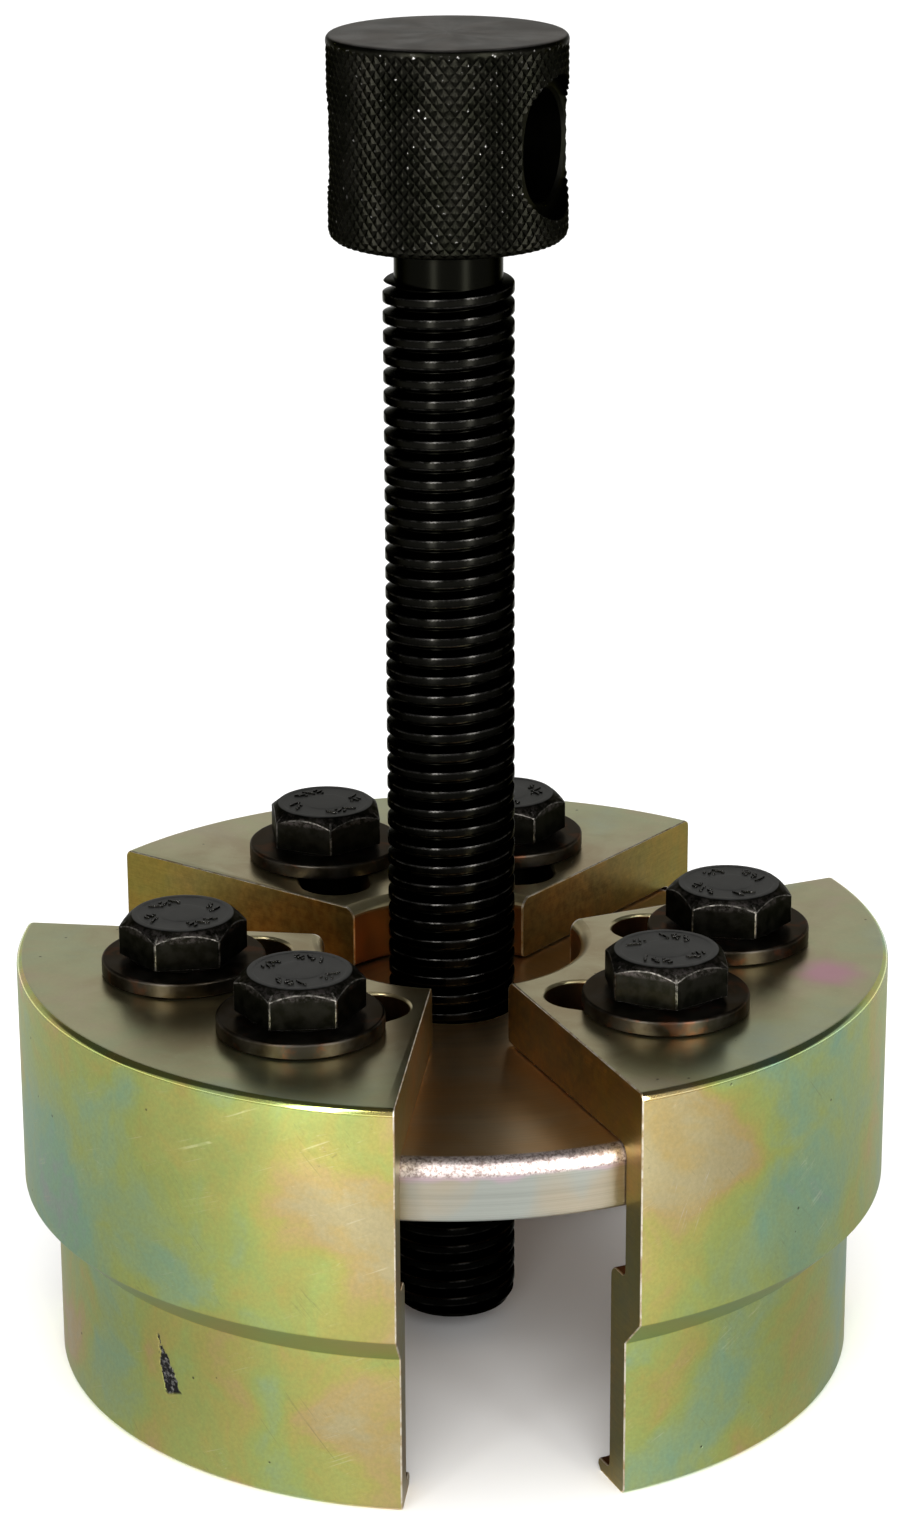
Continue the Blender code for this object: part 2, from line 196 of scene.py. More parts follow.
def rounded(corners, steps=3):
    """A closed outline from (r, z, rounding) corners, each rounding an arc."""
    result = []
    count = len(corners)
    for i in range(count):
        p = np.array(corners[i][:2], float)
        radius = corners[i][2]
        if radius <= 0:
            result.append(tuple(p))
            continue
        a = np.array(corners[i - 1][:2], float) - p
        b = np.array(corners[(i + 1) % count][:2], float) - p
        a /= np.linalg.norm(a)
        b /= np.linalg.norm(b)
        half = np.arccos(np.clip(a @ b, -1, 1)) / 2
        reach = radius / tan(half)
        middle = (a + b) / np.linalg.norm(a + b)
        centre = p + middle * radius / sin(half)
        start = p + a * reach - centre
        end = p + b * reach - centre
        t0 = atan2(start[1], start[0])
        t1 = atan2(end[1], end[0])
        sweep = (t1 - t0 + pi) % TURN - pi
        number = max(2, int(ceil(abs(sweep) / (pi / 2) * steps * (1 if radius < 1 else 2))))
        for k in range(number + 1):
            t = t0 + sweep * k / number
            result.append((centre[0] + radius * cos(t), centre[1] + radius * sin(t)))
    return result


def inset(outline, distance):
    """The closed outline moved to its inside. It runs anticlockwise."""
    p = np.asarray(outline, float)
    before = p - np.roll(p, 1, 0)
    after = np.roll(p, -1, 0) - p
    before /= np.linalg.norm(before, axis=1)[:, None]
    after /= np.linalg.norm(after, axis=1)[:, None]
    n = np.stack([-before[:, 1] - after[:, 1], before[:, 0] + after[:, 0]], 1)
    n /= np.linalg.norm(n, axis=1)[:, None]
    lean = np.einsum("ij,ij->i", n, np.stack([-after[:, 1], after[:, 0]], 1))
    return p + n * (distance / np.maximum(lean, 0.5))[:, None]


def cut(obj, tool, smooth, *finishes, crossing=False):
    """Cut obj with tool for good, then finish and shade it. Crossing: the tool's own parts meet."""
    modifier = obj.modifiers.new("cut", "BOOLEAN")
    modifier.solver = "EXACT"
    modifier.operation = "DIFFERENCE"
    modifier.object = tool
    modifier.use_self = crossing
    bpy.context.view_layer.update()
    done = bpy.data.meshes.new_from_object(obj.evaluated_get(bpy.context.evaluated_depsgraph_get()))
    obj.modifiers.clear()
    old = obj.data
    name = old.name
    obj.data = done
    bpy.data.meshes.remove(old)
    done.name = name
    bpy.data.objects.remove(tool)
    set_own(obj)
    for finish in finishes:
        done.materials.append(finish)
    shade(done, smooth)


def set_own(obj):
    """Keep each point's present place as its place in the piece's own frame, in millimetres."""
    mesh = obj.data
    if "own" in mesh.attributes:
        mesh.attributes.remove(mesh.attributes["own"])
    co = np.zeros(len(mesh.vertices) * 3, np.float32)
    mesh.vertices.foreach_get("co", co)
    mesh.attributes.new("own", "FLOAT_VECTOR", "POINT").data.foreach_set("vector", co / MM)


def recalc(obj):
    bm = bmesh.new()
    bm.from_mesh(obj.data)
    bmesh.ops.recalc_face_normals(bm, faces=bm.faces)
    bm.to_mesh(obj.data)
    bm.free()


# -------- node helpers
class Nodes:
    """Calls that each add a node to a tree and return its output."""

    def __init__(self, tree):
        self.tree = tree

    def make(self, kind, *values):
        """A new node, with values or other nodes' outputs for its first inputs."""
        node = self.tree.nodes.new(kind)
        for socket, value in zip(node.inputs, values):
            self.put(socket, value)
        return node

    def put(self, socket, value):
        if isinstance(value, bpy.types.NodeSocket):
            self.tree.links.new(value, socket)
        elif isinstance(value, (tuple, list)) and len(value) == 3 and socket.type == "RGBA":
            socket.default_value = (*value, 1.0)
        else:
            socket.default_value = value

    def math(self, operation, a, b=0.0):
        node = self.make("ShaderNodeMath", a, b)
        node.operation = operation
        return node.outputs[0]

    def times(self, a, b):
        return self.math("MULTIPLY", a, b)

    def vector(self, operation, a, b=(0, 0, 0), scale=1.0):
        node = self.make("ShaderNodeVectorMath", a)
        node.operation = operation
        if operation == "SCALE":
            self.put(node.inputs["Scale"], scale)
        else:
            self.put(node.inputs[1], b)
        return node.outputs["Value" if operation in ("DOT_PRODUCT", "LENGTH") else "Vector"]

    def parts(self, vector):
        return self.make("ShaderNodeSeparateXYZ", vector).outputs

    def combine(self, x, y, z):
        return self.make("ShaderNodeCombineXYZ", x, y, z).outputs[0]

    def noise(self, vector, scale, detail=2.0, rough=0.5, twist=0.0, colour=False):
        node = self.make("ShaderNodeTexNoise", vector)
        values = {"Scale": scale, "Detail": detail, "Roughness": rough, "Distortion": twist}
        for key, value in values.items():
            node.inputs[key].default_value = value
        return node.outputs["Color" if colour else "Fac"]

    def cells(self, vector, scale):
        node = self.make("ShaderNodeTexVoronoi", vector)
        node.inputs["Scale"].default_value = scale
        return node.outputs

    def ease(self, value, low, high, to_low=0.0, to_high=1.0):
        node = self.make("ShaderNodeMapRange", value, low, high, to_low, to_high)
        node.interpolation_type = "SMOOTHSTEP"
        return node.outputs["Result"]

    def ramp(self, value, stops):
        node = self.make("ShaderNodeValToRGB", value)
        elements = node.color_ramp.elements
        # The last stop goes first, so that the two never change places.
        for end in (1, 0):
            elements[end].position, colour = stops[-end]
            elements[end].color = (*colour, 1)
        for position, colour in stops[1:-1]:
            elements.new(position).color = (*colour, 1)
        return node.outputs[0]

    def mix(self, share, a, b, how="MIX"):
        node = self.make("ShaderNodeMix", share)
        node.data_type = "RGBA"
        node.blend_type = how
        self.put(node.inputs[6], a)
        self.put(node.inputs[7], b)
        return node.outputs[2]

    def blend(self, share, a, b):
        node = self.make("ShaderNodeMix", share)
        self.put(node.inputs[2], a)
        self.put(node.inputs[3], b)
        return node.outputs[0]


class Finish(Nodes):
    """A procedural material, metallic unless it says otherwise.

    Places are in millimetres: place in the scene at rest, own in the piece's own frame.
    """

    def __init__(self, name, metallic=1.0, **values):
        self.material = bpy.data.materials.new(name)
        self.material.use_nodes = True
        super().__init__(self.material.node_tree)
        self.shader = self.tree.nodes["Principled BSDF"]
        self.shader.inputs["Metallic"].default_value = metallic
        for key, value in values.items():
            self.shader.inputs[key.replace("_", " ")].default_value = value
        self.place = self.vector("SCALE", self.make("ShaderNodeTexCoord").outputs["Object"], scale=1 / MM)
        own = self.make("ShaderNodeAttribute")
        own.attribute_name = "own"
        self.own = own.outputs["Vector"]

    def radius(self):
        """The distance from the piece's own axis."""
        return self.vector("LENGTH", self.vector("MULTIPLY", self.own, (1, 1, 0)))

    def away(self, point):
        return self.vector("LENGTH", self.vector("SUBTRACT", self.place, point))

    def tone(self, colour, value, dark, light, low=0.3, high=0.7):
        """Multiply a colour by a grey between dark and light."""
        grey = self.ease(value, low, high, dark, light)
        return self.mix(1.0, colour, self.combine(grey, grey, grey), "MULTIPLY")

    def edge(self, radius=0.3, low=0.02, high=0.2):
        """1 on sharp outer and inner edges, 0 on open faces."""
        bevel = self.make("ShaderNodeBevel", radius * MM)
        bevel.samples = 4
        normal = self.make("ShaderNodeNewGeometry").outputs["Normal"]
        same = self.vector("DOT_PRODUCT", bevel.outputs[0], normal)
        return self.ease(self.math("SUBTRACT", 1.0, same), low, high)

    def bump(self, height, depth, below=None):
        """Raise the surface by height times depth, in millimetres."""
        node = self.make("ShaderNodeBump", 1.0, depth * MM)
        self.put(node.inputs["Height"], height)
        if below is not None:
            self.put(node.inputs["Normal"], below)
        return node.outputs[0]

    def skin(self):
        """The turned wall laid flat: the way round and the height, in millimetres."""
        x, y, z = self.parts(self.own)
        return self.combine(self.times(self.math("ARCTAN2", y, x), UPPER_R), z, 0.0)

    def scratches(self, vector, scale, turn, share):
        """Thin straight marks in one direction, broken up so that few of them show."""
        node = self.make("ShaderNodeMapping", vector)
        node.inputs["Rotation"].default_value = (0.0, 0.0, turn)
        stretch = (scale, scale * 0.03, scale)
        lines = self.noise(self.vector("MULTIPLY", node.outputs[0], stretch), 1.0, 1.0)
        thin = self.ease(self.math("ABSOLUTE", self.math("SUBTRACT", lines, 0.5)), 0.0, 0.006, 1.0, 0.0)
        some = self.ease(self.noise(vector, 0.08, 2.0), 1 - share - 0.06, 1 - share + 0.04)
        return self.times(thin, some)

    def specks(self, size=0.55, share=0.06):
        """Small pits, one in a few of the cells."""
        cell = self.cells(self.place, 1 / size / 4)
        chosen = self.ease(self.parts(cell["Color"])[0], 1 - share, 1 - share + 0.01)
        return self.times(chosen, self.ease(cell["Distance"], 0.06, 0.14, 1.0, 0.0))

    def done(self, colour, rough=None, normal=None):
        """The finished material. Each value is a number, a colour or a node's output."""
        for key, value in (("Base Color", colour), ("Roughness", rough), ("Normal", normal)):
            if value is not None:
                self.put(self.shader.inputs[key], value)
        return self.material


# -------- finishes
CREAM = (0.86, 0.80, 0.58)
# Interference colours of the passivated zinc, by the thickness of its film.
FILM = ((0.00, (0.60, 0.53, 0.33)), (0.28, (0.63, 0.53, 0.28)), (0.37, (0.66, 0.50, 0.21)),
        (0.47, (0.60, 0.55, 0.16)), (0.60, (0.51, 0.59, 0.18)), (0.74, (0.44, 0.58, 0.28)),
        (0.87, (0.35, 0.56, 0.36)), (0.95, (0.41, 0.50, 0.41)), (1.00, (0.49, 0.45, 0.40)))
# Patches of steady film on the outer walls: place, radius and thickness.
CLOUDS = ((-19.3, -64.8, 35.8, 12, 0.86), (-2.0, -67.5, 44.0, 6, 0.84), (-6.6, -67.2, 52.5, 7, 0.80),
          (-27.8, -61.6, 43.4, 10, 0.72), (-0.9, -62.4, 18.6, 6, 0.84), (-35.7, -51.4, 9.2, 10, 0.80),
          (11.5, -66.5, 50.0, 16, 0.14), (12.0, -61.1, 13.1, 14, 0.24), (-7.2, -67.2, 60.1, 9, 0.48),
          (-14.2, -66.1, 52.3, 10, 0.56), (-46.9, -48.7, 40.4, 13, 0.98), (1.0, -67.0, 34.0, 9, 0.60),
          (55.5, -38.3, 53.0, 12, 0.12), (54.3, -40.0, 45.4, 10, 0.15), (51.1, -43.9, 59.5, 7, 0.34),
          (65.2, -18.0, 44.3, 10, 0.88), (67.2, -8.1, 50.7, 12, 0.82), (50.1, -45.0, 36.2, 10, 0.48),
          (57.3, -35.6, 39.8, 8, 0.70), (64.0, -21.8, 33.3, 9, 0.82), (51.2, -35.7, 23.7, 8, 0.44),
          (55.6, -28.5, 10.9, 7, 0.84), (57.0, -25.7, 20.7, 7, 0.76), (61.5, -11.7, 9.9, 12, 0.44),
          (47.2, -40.6, 14.6, 9, 0.27), (-19.0, -58.4, 11.0, 13, 0.60))


def film_colour(f, clouds=True):
    """The drifting interference colours of passivated zinc."""
    drift = f.vector("SUBTRACT", f.noise(f.place, 0.05, 1.0, 0.5, colour=True), (0.5, 0.5, 0.5))
    there = f.vector("ADD", f.place, f.vector("SCALE", drift, scale=18.0))
    film = f.ease(f.noise(there, 0.028, 4.0, 0.55), 0.30, 0.70, 0.35, 0.80)
    for x, y, z, radius, level in CLOUDS if clouds else ():
        apart = f.vector("LENGTH", f.vector("SUBTRACT", there, (x, y, z)))
        film = f.blend(f.ease(apart, radius * 0.1, radius * 1.6, 0.75, 0.0), film, level)
    for scale, reach in ((0.11, 0.42), (0.40, 0.16)):
        wisp = f.noise(there, scale, 4.0, 0.62)
        film = f.math("ADD", film, f.times(f.math("SUBTRACT", wisp, 0.5), reach))
    colour = f.ramp(film, FILM)
    grit = f.noise(f.place, 1.6, 3.0, 0.7)
    return f.tone(colour, grit, 0.93, 1.06, 0.25, 0.75)


# One struck and torn mark on the lower wall of a jaw, and one rubbed patch on another.
GOUGE = (-23.0, -58.2, 16.0)
GOUGE_RUN = (0.303, -0.112, -0.944)
GOUGE_HALF = 4.9
SCUFF = (54.2, -40.1, 48.5)
# A rosy stain on one jaw's top.
ROSY = (58.5, 7.0, JAW_TOP)


def gouge_mask(f):
    """Where the mark lies, and how much of its floor shows bare metal."""
    offset = f.vector("SUBTRACT", f.place, GOUGE)
    wander = f.math("SUBTRACT", f.noise(f.place, 0.8, 4.0, 0.7), 0.5)
    along = f.vector("DOT_PRODUCT", offset, GOUGE_RUN)
    across = f.vector("LENGTH", f.vector("SUBTRACT", offset, f.vector("SCALE", GOUGE_RUN, scale=along)))
    width = f.ease(along, -GOUGE_HALF, GOUGE_HALF * 0.5, 0.15, 1.55)
    near = f.math("SUBTRACT", f.math("ADD", across, f.times(wander, 2.6)), width)
    inside = f.ease(near, -0.15, 0.15, 1.0, 0.0)
    ends = f.ease(f.math("ABSOLUTE", along), GOUGE_HALF - 0.5, GOUGE_HALF, 1.0, 0.0)
    inside = f.times(inside, ends)
    torn = f.ease(f.noise(f.place, 1.5, 3.0, 0.7), 0.50, 0.66)
    return inside, torn


def zinc_edge():
    """Bare, bright metal along the cut faces' rounded edges."""
    f = Finish("zinc_edge")
    wear = f.ease(f.noise(f.place, 0.5, 3.0, 0.6), 0.35, 0.6)
    colour = f.mix(wear, (0.62, 0.46, 0.24), (0.92, 0.84, 0.68))
    return f.done(colour, 0.30)


def zinc_outer():
    """Turned outer walls: soft colour clouds, faint turning lines, pits and a few scratches."""
    f = Finish("zinc_outer")
    colour = film_colour(f)
    z = f.parts(f.own)[2]
    line = f.noise(f.combine(0.0, 0.0, z), 5.0, 3.0, 0.7)
    cone = f.times(f.ease(z, CONE_LOW, CONE_LOW + 0.3), f.ease(z, CONE_HIGH - 0.3, CONE_HIGH, 1.0, 0.0))
    colour = f.mix(f.times(cone, 0.8), colour, (0.36, 0.42, 0.24))
    pits = f.specks()
    colour = f.mix(f.times(pits, 0.8), colour, (0.05, 0.045, 0.02))
    skin = f.skin()
    marks = f.scratches(skin, 1.6, 1.15, 0.46)
    colour = f.mix(f.times(marks, 0.30), colour, CREAM)
    stains = f.scratches(f.vector("ADD", skin, (50.0, 20.0, 0.0)), 1.2, -0.7, 0.42)
    colour = f.mix(f.times(stains, 0.30), colour, (0.20, 0.18, 0.10))
    rubs = f.scratches(skin, 1.3, 0.35, 0.9)
    rubs = f.times(rubs, f.ease(f.away(SCUFF), 2.0, 7.0, 0.55, 0.0))
    colour = f.mix(rubs, colour, (0.80, 0.78, 0.70))
    gouge, torn = gouge_mask(f)
    colour = f.mix(gouge, colour, f.mix(torn, (0.030, 0.028, 0.027), (0.30, 0.29, 0.28)))
    rough = f.ease(f.noise(f.place, 0.12, 3.0), 0.3, 0.7, 0.285, 0.335)
    rough = f.math("ADD", rough, f.times(marks, 0.15))
    rough = f.blend(f.ease(z, JAW_TOP - 1.25, JAW_TOP - 0.95), rough, 0.13)
    normal = f.bump(line, 0.0025)
    normal = f.bump(pits, -0.05, below=normal)
    normal = f.bump(f.times(gouge, f.math("ADD", torn, -1.0)), 0.25, below=normal)
    return f.done(colour, rough, normal)


def zinc_top():
    """Faced tops of the jaws, brown round the bolts, paler outside, with a fine milled grain."""
    f = Finish("zinc_top")
    radius = f.radius()
    wander = f.times(f.math("SUBTRACT", f.noise(f.place, 0.06, 3.0, 0.6), 0.5), 30.0)
    outside = f.ease(f.math("ADD", radius, wander), 46.0, 64.0, 0.0, 0.75)
    cloud = f.ease(f.noise(f.place, 0.09, 4.0, 0.6, 0.6), 0.35, 0.65)
    brown = f.mix(cloud, (0.47, 0.37, 0.19), (0.58, 0.51, 0.29))
    pale = f.mix(0.5, film_colour(f, False), (0.62, 0.64, 0.49))
    colour = f.mix(outside, brown, pale)
    rosy = f.math("ADD", f.away(ROSY), f.times(wander, 0.3))
    rosy = f.ease(rosy, 1.5, 7.0, 0.75, 0.0)
    colour = f.mix(rosy, colour, (0.80, 0.36, 0.50))
    pits = f.specks(0.5, 0.05)
    colour = f.mix(f.times(pits, 0.6), colour, (0.06, 0.05, 0.03))
    grain = f.noise(f.vector("MULTIPLY", f.own, (0.4, 6.0, 1.0)), 1.0, 3.0, 0.7)
    bright = f.ease(f.noise(f.place, 2.2, 2.0, 0.8), 0.68, 0.76, 0.0, 0.45)
    colour = f.mix(bright, colour, CREAM)
    rough = f.ease(f.noise(f.place, 0.15, 3.0), 0.3, 0.7, 0.28, 0.31)
    normal = f.bump(pits, -0.04, below=f.bump(grain, 0.004))
    return f.done(colour, rough, normal)


def zinc_cut():
    """Sawn and milled side faces: dark honey brown, mottled, with worn edges."""
    f = Finish("zinc_cut")
    cloud = f.ease(f.noise(f.place, 0.07, 4.0, 0.6, 0.5), 0.36, 0.64)
    colour = f.mix(cloud, (0.33, 0.17, 0.036), (0.22, 0.15, 0.040))
    mottle = f.noise(f.place, 0.8, 4.0, 0.7)
    colour = f.tone(colour, mottle, 0.80, 1.16)
    radius = f.radius()
    film = f.mix(1.0, film_colour(f, False), (0.66, 0.52, 0.33), "MULTIPLY")
    colour = f.mix(f.ease(radius, 38.0, 68.0, 0.0, 0.6), colour, film)
    grain = f.noise(f.vector("MULTIPLY", f.own, (0.15, 0.15, 4.5)), 1.0, 4.0, 0.7)
    colour = f.tone(colour, grain, 0.92, 1.07)
    worn = f.edge(0.3)
    colour = f.mix(f.times(worn, 0.85), colour, CREAM)
    normal = f.bump(grain, 0.006)
    return f.done(colour, f.ease(mottle, 0.3, 0.7, 0.285, 0.37), normal)


def zinc_inner():
    """Bored inner walls, undersides and slots: darker and redder."""
    f = Finish("zinc_inner")
    cloud = f.ease(f.noise(f.place, 0.05, 3.0, 0.5, 0.5), 0.35, 0.65)
    colour = f.mix(cloud, (0.27, 0.11, 0.045), (0.21, 0.13, 0.05))
    line = f.noise(f.combine(0.0, 0.0, f.parts(f.own)[2]), 3.0, 3.0, 0.7)
    worn = f.edge(0.3)
    colour = f.mix(f.times(worn, 0.7), colour, CREAM)
    return f.done(colour, f.ease(line, 0.3, 0.7, 0.285, 0.345), f.bump(line, 0.006))


def disc_finish():
    """Turned bridge disc: concentric tool lines on the faces, a paler rim, and a painted sparkling highlight
    on the shoulder.
    """
    f = Finish("disc_zinc")
    z = f.parts(f.own)[2]
    radius = f.radius()
    cloud = f.ease(f.noise(f.place, 0.05, 3.0, 0.5, 0.6), 0.35, 0.65)
    colour = f.mix(cloud, (0.72, 0.44, 0.19), (0.72, 0.52, 0.29))
    rim = f.ease(radius, DISC_R - 2.6, DISC_R - 0.6)
    cloud = f.ease(f.noise(f.place, 0.07, 2.0, 0.5, 0.6), 0.4, 0.6)
    tint = f.mix(cloud, (0.50, 0.44, 0.33), (0.44, 0.46, 0.41))
    rosy = f.ease(f.math("ADD", z, f.times(f.noise(f.place, 0.15, 2.0), 3.0)), 54.2, 55.2)
    tint = f.mix(f.times(rosy, 0.7), tint, (0.62, 0.44, 0.52))
    colour = f.mix(rim, colour, tint)
    line = f.noise(f.combine(radius, 0.0, z), 4.0, 4.0, 0.7)
    colour = f.tone(colour, line, 0.9, 1.08)
    # Painted sparkle: bright and dark spots on the rounded shoulder stand in for its glinting highlight, and
    # the same spots are bumped a little.
    painted_sparkle = f.ease(f.noise(f.place, 1.8, 3.0, 0.75), 0.36, 0.60)
    high = f.ease(z, DISC_TOP - 2.6, DISC_TOP - 2.0)
    shoulder = f.times(f.ease(radius, DISC_R - 2.7, DISC_R - 2.0), high)
    # The shoulder takes the painted sparkling highlight.
    colour = f.mix(shoulder, colour, f.mix(painted_sparkle, (0.36, 0.27, 0.24), (0.84, 0.74, 0.71)))
    rough = f.blend(shoulder, f.ease(line, 0.3, 0.7, 0.30, 0.38), 0.42)
    normal = f.bump(f.times(painted_sparkle, shoulder), 0.02, below=f.bump(line, 0.006))
    return f.done(colour, rough, normal)


def black_screw():
    """Oiled black oxide on the thread and neck, with painted glints on the worn crests."""
    f = Finish("black_screw", Specular_Tint=(0.35, 0.35, 0.33, 1))
    cloud = f.noise(f.place, 0.35, 3.0, 0.6)
    colour = f.mix(f.ease(cloud, 0.35, 0.65), (0.0030, 0.0030, 0.0020), (0.0062, 0.0060, 0.0046))
    radius = f.radius()
    crest = f.ease(radius, 9.60, 9.72)
    colour = f.mix(crest, colour, (0.0042, 0.0041, 0.0033))
    # Lighter spots along the crests' rounded edges: partly wear, and partly painted glints that brighten the
    # thread's highlights.
    worn = f.times(f.ease(radius, 9.66, 9.74), f.ease(radius, 9.792, 9.786))
    worn = f.times(worn, f.ease(f.noise(f.place, 0.7, 3.0, 0.7), 0.36, 0.60))
    colour = f.mix(f.times(worn, 0.6), colour, (0.050, 0.048, 0.045))
    line = f.noise(f.combine(0.0, 0.0, f.parts(f.own)[2]), 8.0, 2.0)
    return f.done(colour, f.ease(cloud, 0.3, 0.7, 0.20, 0.265), f.bump(line, 0.004))


def black_knurl():
    """Black oxide on the knurled head, worn a little on the points, where bright spots also stand in for
    painted glints.
    """
    f = Finish("black_knurl", Specular_Tint=(0.45, 0.45, 0.43, 1))
    x, y, z = f.parts(f.own)
    radius = f.radius()
    top = f.ease(z, HEAD_TOP - 0.3, HEAD_TOP - 0.05)
    cloud = f.noise(f.place, 0.2, 3.0, 0.6)
    angle = f.math("ARCTAN2", y, x)
    spokes = f.combine(f.math("SINE", angle), f.math("COSINE", angle), f.times(radius, 0.05))
    fan = f.noise(spokes, 2.2, 2.0)
    side = f.mix(f.ease(cloud, 0.35, 0.65), (0.0055, 0.0056, 0.0038), (0.0095, 0.0092, 0.0070))
    # Bright spots on the knurl's points: partly wear, and partly painted glints.
    wear_and_glint_spots = f.ease(f.noise(f.place, 1.3, 3.0, 0.65), 0.60, 0.72)
    tip = f.ease(radius, HEAD_R - 0.07, HEAD_R - 0.01)
    side = f.mix(f.times(f.times(tip, wear_and_glint_spots), 0.9), side, (0.60, 0.58, 0.56))
    neck = f.ease(z, HEAD_LOW - 0.3, HEAD_LOW, 1.0, 0.0)
    side = f.mix(neck, side, (0.0026, 0.0026, 0.0019))
    face = f.mix(f.ease(cloud, 0.3, 0.7), (0.235, 0.212, 0.195), (0.31, 0.298, 0.285))
    ring = f.noise(f.combine(radius, 0.0, 0.0), 3.5, 3.0, 0.7)
    face = f.tone(face, ring, 0.93, 1.06)
    face = f.tone(face, fan, 0.82, 1.20, 0.35, 0.65)
    colour = f.mix(top, side, face)
    normal = f.bump(f.times(ring, top), 0.006)
    return f.done(colour, f.blend(neck, 0.35, 0.24), normal)


def black_bolt():
    """Forged bolt head: dull oxide, scale marks, worn chamfer and edges."""
    f = Finish("black_bolt", Specular_Tint=(0.45, 0.45, 0.43, 1))
    z = f.parts(f.own)[2]
    radius = f.radius()
    cloud = f.noise(f.place, 0.6, 4.0, 0.6)
    flank = f.mix(f.ease(cloud, 0.35, 0.65), (0.0075, 0.0075, 0.0050), (0.013, 0.0125, 0.0095))
    top = f.mix(f.ease(cloud, 0.3, 0.7), (0.150, 0.149, 0.144), (0.180, 0.178, 0.172))
    up = f.parts(f.make("ShaderNodeNewGeometry").outputs["Normal"])[2]
    high = f.times(f.ease(z, 6.35, 6.5), f.ease(up, 0.80, 0.96))
    colour = f.mix(high, flank, top)
    cone = f.times(f.ease(radius, 7.75, 8.1), f.ease(z, 4.6, 5.2))
    rub = f.ease(f.noise(f.place, 1.1, 4.0, 0.7), 0.42, 0.62)
    colour = f.mix(f.times(cone, f.times(rub, 0.35)), colour, (0.11, 0.095, 0.09))
    worn = f.ease(f.noise(f.place, 1.6, 3.0), 0.3, 0.55, 0.4, 1.0)
    worn = f.times(f.edge(0.16, 0.03, 0.2), worn)
    colour = f.mix(f.times(worn, 0.7), colour, (0.42, 0.40, 0.38))
    grain = f.noise(f.place, 3.0, 4.0, 0.7)
    return f.done(colour, f.ease(cloud, 0.3, 0.7, 0.36, 0.46), f.bump(grain, 0.012))


def bolt_edge():
    """Rubbed corners of the bolt heads, broken up."""
    f = Finish("bolt_edge", Specular_Tint=(0.6, 0.6, 0.58, 1))
    rub = f.ease(f.noise(f.place, 1.2, 4.0, 0.7), 0.40, 0.60)
    colour = f.mix(rub, (0.024, 0.023, 0.019), (0.15, 0.14, 0.125))
    return f.done(colour, 0.38)


def black_washer():
    """Stamped washer: brown-black oxide with reddish patches on the rim."""
    f = Finish("black_washer", Specular_Tint=(0.6, 0.57, 0.53, 1))
    cloud = f.noise(f.place, 0.22, 3.0, 0.6)
    colour = f.mix(f.ease(cloud, 0.35, 0.65), (0.022, 0.017, 0.011), (0.046, 0.041, 0.033))
    rust = f.ease(f.noise(f.place, 0.30, 3.0, 0.6, 0.5), 0.54, 0.68)
    colour = f.mix(f.times(rust, 0.5), colour, (0.11, 0.040, 0.018))
    worn = f.ease(f.noise(f.place, 1.0, 3.0), 0.35, 0.6, 0.3, 1.0)
    worn = f.times(f.edge(0.25), worn)
    colour = f.mix(f.times(worn, 0.8), colour, (0.42, 0.36, 0.30))
    grain = f.noise(f.place, 2.5, 4.0, 0.7)
    return f.done(colour, f.ease(cloud, 0.3, 0.7, 0.30, 0.40), f.bump(grain, 0.010))


def bearing_finish():
    """Ground steel of the ball and ring inside the screw's end."""
    f = Finish("bearing_steel")
    cloud = f.noise(f.place, 0.8, 3.0, 0.6)
    colour = f.mix(f.ease(cloud, 0.3, 0.7), (0.50, 0.50, 0.51), (0.62, 0.62, 0.64))
    return f.done(colour, f.ease(cloud, 0.3, 0.7, 0.16, 0.24), f.bump(cloud, 0.002))


# -------- jaws
OUTER, TOP, CUT, INNER, EDGE = range(5)


def jaw_outline():
    """The jaw's section as (radius, height), anticlockwise from its foot."""
    corners = [(53.4, 0.0, 0.3), (60.7, 0.0, 0.35), (LOWER_R, 0.7, 0.35), (LOWER_R, CONE_LOW, 0.35)]
    corners += [(UPPER_R, CONE_HIGH, 0.45), (UPPER_R, JAW_TOP, 1.1)]
    corners += [(10.0, JAW_TOP, 0), (10.0, FLANGE_BOTTOM, 0)]
    corners += [(RECESS_R, FLANGE_BOTTOM, 2.0), (RECESS_R, RECESS_LOW, 1.0), (BORE_R, RECESS_LOW, 1.8)]
    corners += [(BORE_R, LIP_TOP, 1.0), (LIP_R, LIP_TOP, 0.85), (LIP_R, 0.9, 0.3)]
    return rounded(corners)


def sector(outline, half, steps, edge=0.25):
    """A turned sector whose cut ends have a small rounding all the way round."""
    rows = []
    for k in range(5):
        t = radians(90 - 22.5 * k)
        rows.append((edge * (1 - sin(t)), inset(outline, edge * (1 - cos(t)))))
    plan = [(-1, gap, o) for gap, o in rows]
    plan += [(0, -half + 2 * half * j / steps, np.asarray(outline, float)) for j in range(1, steps)]
    plan += [(1, gap, o) for gap, o in reversed(rows)]
    rings = []
    for side, value, section in plan:
        ring = []
        for r, z in section:
            angle = value if side == 0 else side * (half - asin(value / r))
            ring.append((r * cos(angle), r * sin(angle), z))
        rings.append(ring)
    return loft(rings)


def stadium(inner, outer, w, steps):
    """The outline at the distance w round a line along X, from inner to outer."""
    ring = []
    for end, first in ((outer, -pi / 2), (inner, pi / 2)):
        for i in range(steps + 1):
            a = first + pi * i / steps
            ring.append((end + w * cos(a), w * sin(a)))
    return ring


